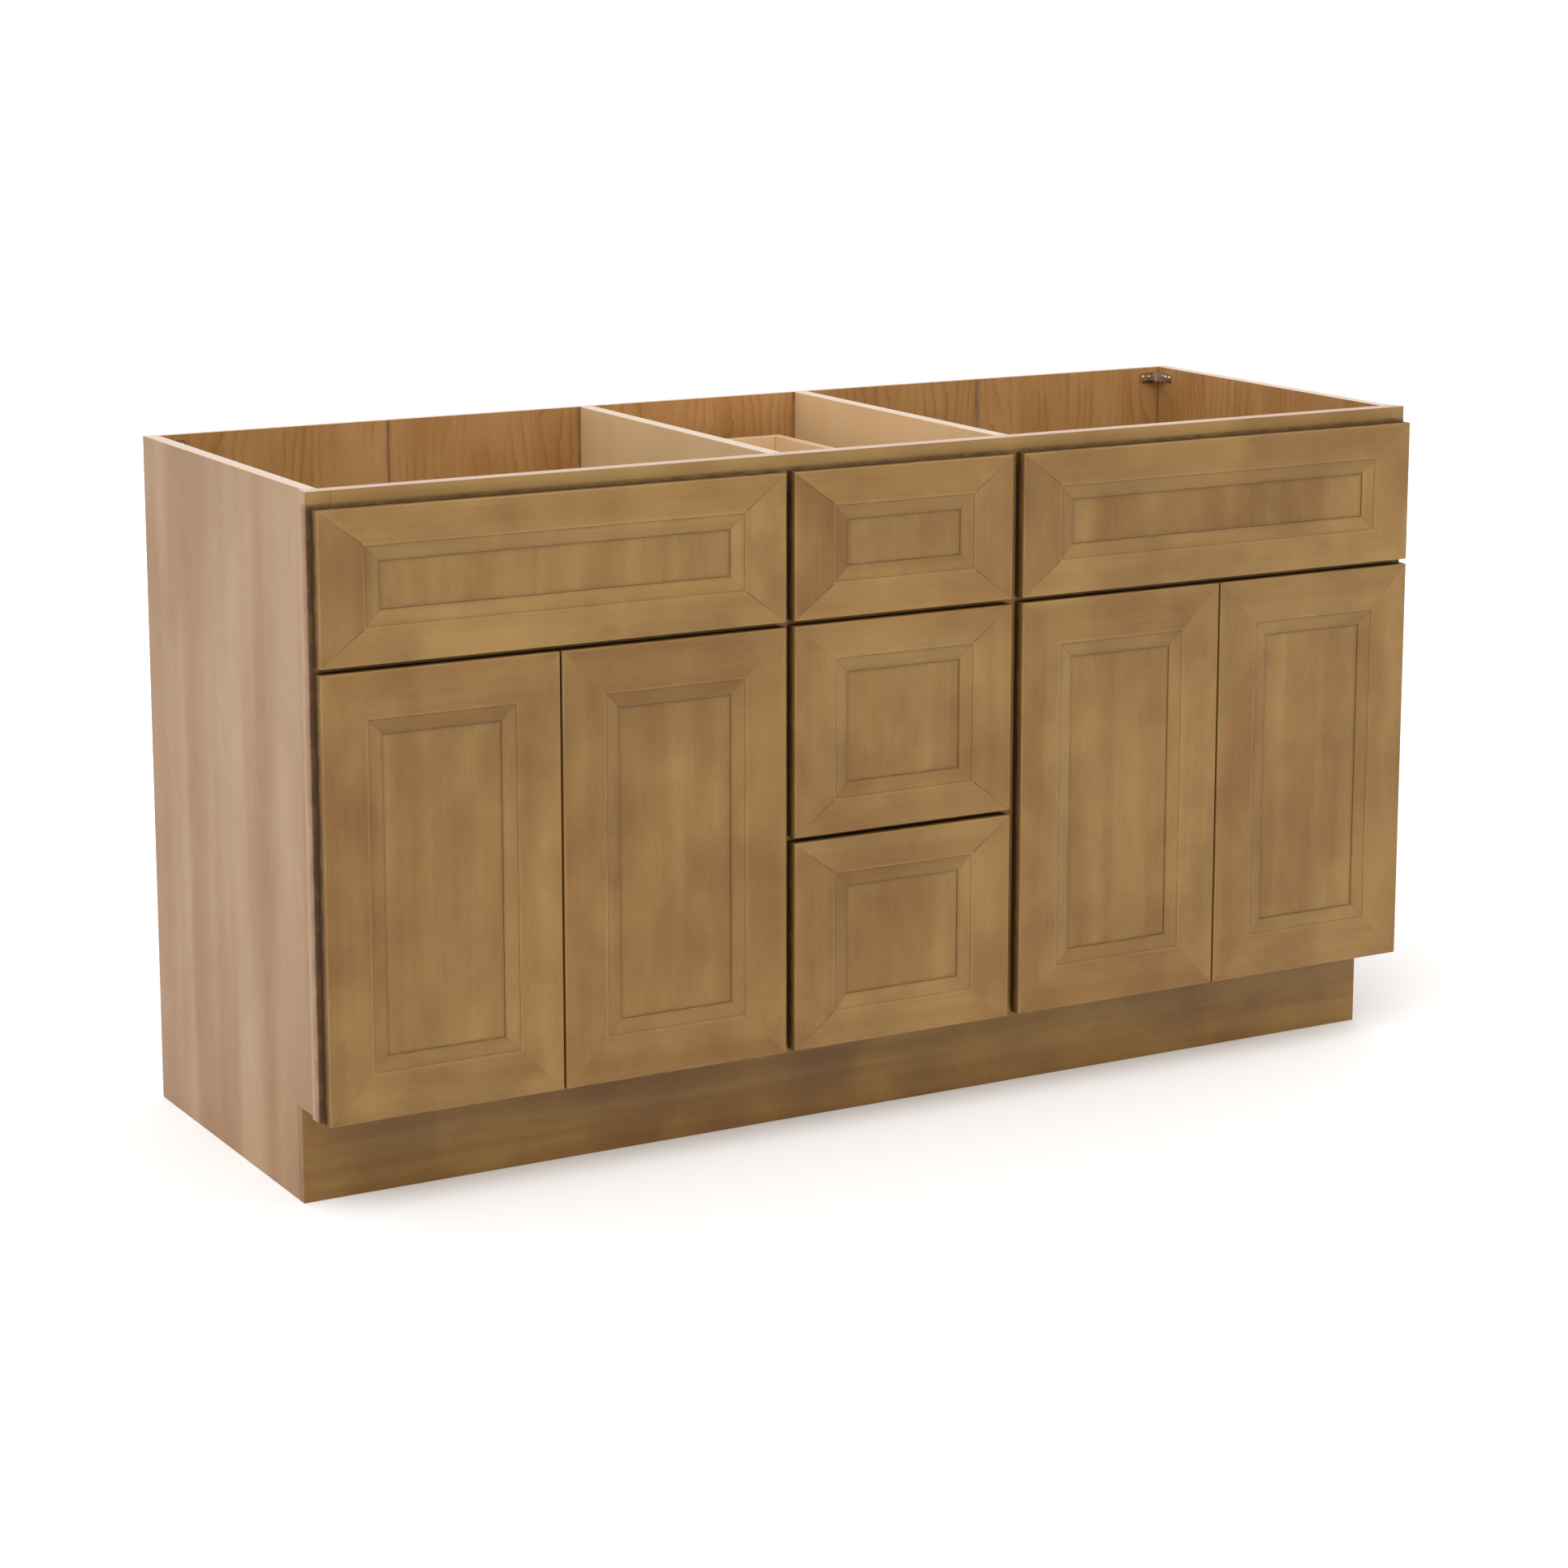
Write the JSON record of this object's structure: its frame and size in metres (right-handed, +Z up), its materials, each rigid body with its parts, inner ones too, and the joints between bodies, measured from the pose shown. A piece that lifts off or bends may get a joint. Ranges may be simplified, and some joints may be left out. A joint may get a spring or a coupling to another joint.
{
  "type": "bathroom vanity cabinet",
  "caption": "Floor-standing double bathroom vanity base: face frame, mitred doors and drawer fronts with bevelled recessed panels, open top for a countertop.",
  "frame": {"origin": "on the floor, under the middle of the cabinet's overall box", "axes": "+X to the right seen from the front, +Y towards the wall, +Z up; the doors face -Y"},
  "size_m": [1.524, 0.548, 0.8382],
  "materials": {
    "front_wood": "satin stained maple",
    "side_wood": "satin stained maple veneer",
    "cabinet_plywood": "clear satin maple plywood",
    "back_plywood": "stained maple plywood",
    "drawer_wood": "clear satin maple",
    "toe_wood": "stained wood",
    "plated_steel": "zinc or nickel plated"
  },
  "bodies": {
    "root": {"left_side_panel": "side_wood", "right_side_panel": "side_wood", "left_partition": "cabinet_plywood", "right_partition": "cabinet_plywood", "back_panel_left": "back_plywood", "back_panel_center": "back_plywood", "back_panel_right": "back_plywood", "bottom_panel": "cabinet_plywood", "toe_kick_board": "toe_wood", "frame_stile_left": "front_wood", "frame_stile_right": "front_wood", "frame_mullion_left": "front_wood", "frame_mullion_right": "front_wood", "frame_top_rail": "front_wood", "frame_bottom_rail": "front_wood", "frame_middle_rail_left": "front_wood", "frame_middle_rail_right": "front_wood", "drawer_rail_upper": "front_wood", "drawer_rail_lower": "front_wood", "corner_brace_left": "plated_steel", "corner_brace_right": "plated_steel", "false_front_left_frame": "front_wood", "false_front_left_panel": "front_wood", "false_front_right_frame": "front_wood", "false_front_right_panel": "front_wood", "drawer_top_slide_left": "plated_steel", "drawer_top_slide_right": "plated_steel", "drawer_middle_slide_left": "plated_steel", "drawer_middle_slide_right": "plated_steel", "drawer_bottom_slide_left": "plated_steel", "drawer_bottom_slide_right": "plated_steel"},
    "door_far_left": {"door_far_left_frame": "front_wood", "door_far_left_panel": "front_wood", "door_far_left_hinge_upper": "plated_steel", "door_far_left_hinge_lower": "plated_steel"},
    "door_mid_left": {"door_mid_left_frame": "front_wood", "door_mid_left_panel": "front_wood", "door_mid_left_hinge_upper": "plated_steel", "door_mid_left_hinge_lower": "plated_steel"},
    "door_mid_right": {"door_mid_right_frame": "front_wood", "door_mid_right_panel": "front_wood", "door_mid_right_hinge_upper": "plated_steel", "door_mid_right_hinge_lower": "plated_steel"},
    "door_far_right": {"door_far_right_frame": "front_wood", "door_far_right_panel": "front_wood", "door_far_right_hinge_upper": "plated_steel", "door_far_right_hinge_lower": "plated_steel"},
    "drawer_top": {"drawer_top_front_frame": "front_wood", "drawer_top_front_panel": "front_wood", "drawer_top_box": "drawer_wood", "drawer_top_bottom": "drawer_wood"},
    "drawer_middle": {"drawer_middle_front_frame": "front_wood", "drawer_middle_front_panel": "front_wood", "drawer_middle_box": "drawer_wood", "drawer_middle_bottom": "drawer_wood"},
    "drawer_bottom": {"drawer_bottom_front_frame": "front_wood", "drawer_bottom_front_panel": "front_wood", "drawer_bottom_box": "drawer_wood", "drawer_bottom_bottom": "drawer_wood"}
  },
  "joints": [
    {"name": "door_far_left_hinge", "type": "hinge", "parent": "root", "child": "door_far_left", "pos_m": [-0.757, -0.27405, 0.37465], "axis": [0, 0, 1], "range_deg": [-105, 0]},
    {"name": "door_mid_left_hinge", "type": "hinge", "parent": "root", "child": "door_mid_left", "pos_m": [-0.1658, -0.27405, 0.37465], "axis": [0, 0, 1], "range_deg": [0, 90]},
    {"name": "door_mid_right_hinge", "type": "hinge", "parent": "root", "child": "door_mid_right", "pos_m": [0.1658, -0.27405, 0.37465], "axis": [0, 0, 1], "range_deg": [-90, 0]},
    {"name": "door_far_right_hinge", "type": "hinge", "parent": "root", "child": "door_far_right", "pos_m": [0.757, -0.27405, 0.37465], "axis": [0, 0, 1], "range_deg": [0, 105]},
    {"name": "drawer_top_slide", "type": "slide", "parent": "root", "child": "drawer_top", "axis": [0, -1, 0], "range_m": [0, 0.38]},
    {"name": "drawer_middle_slide", "type": "slide", "parent": "root", "child": "drawer_middle", "axis": [0, -1, 0], "range_m": [0, 0.38]},
    {"name": "drawer_bottom_slide", "type": "slide", "parent": "root", "child": "drawer_bottom", "axis": [0, -1, 0], "range_m": [0, 0.38]}
  ]
}
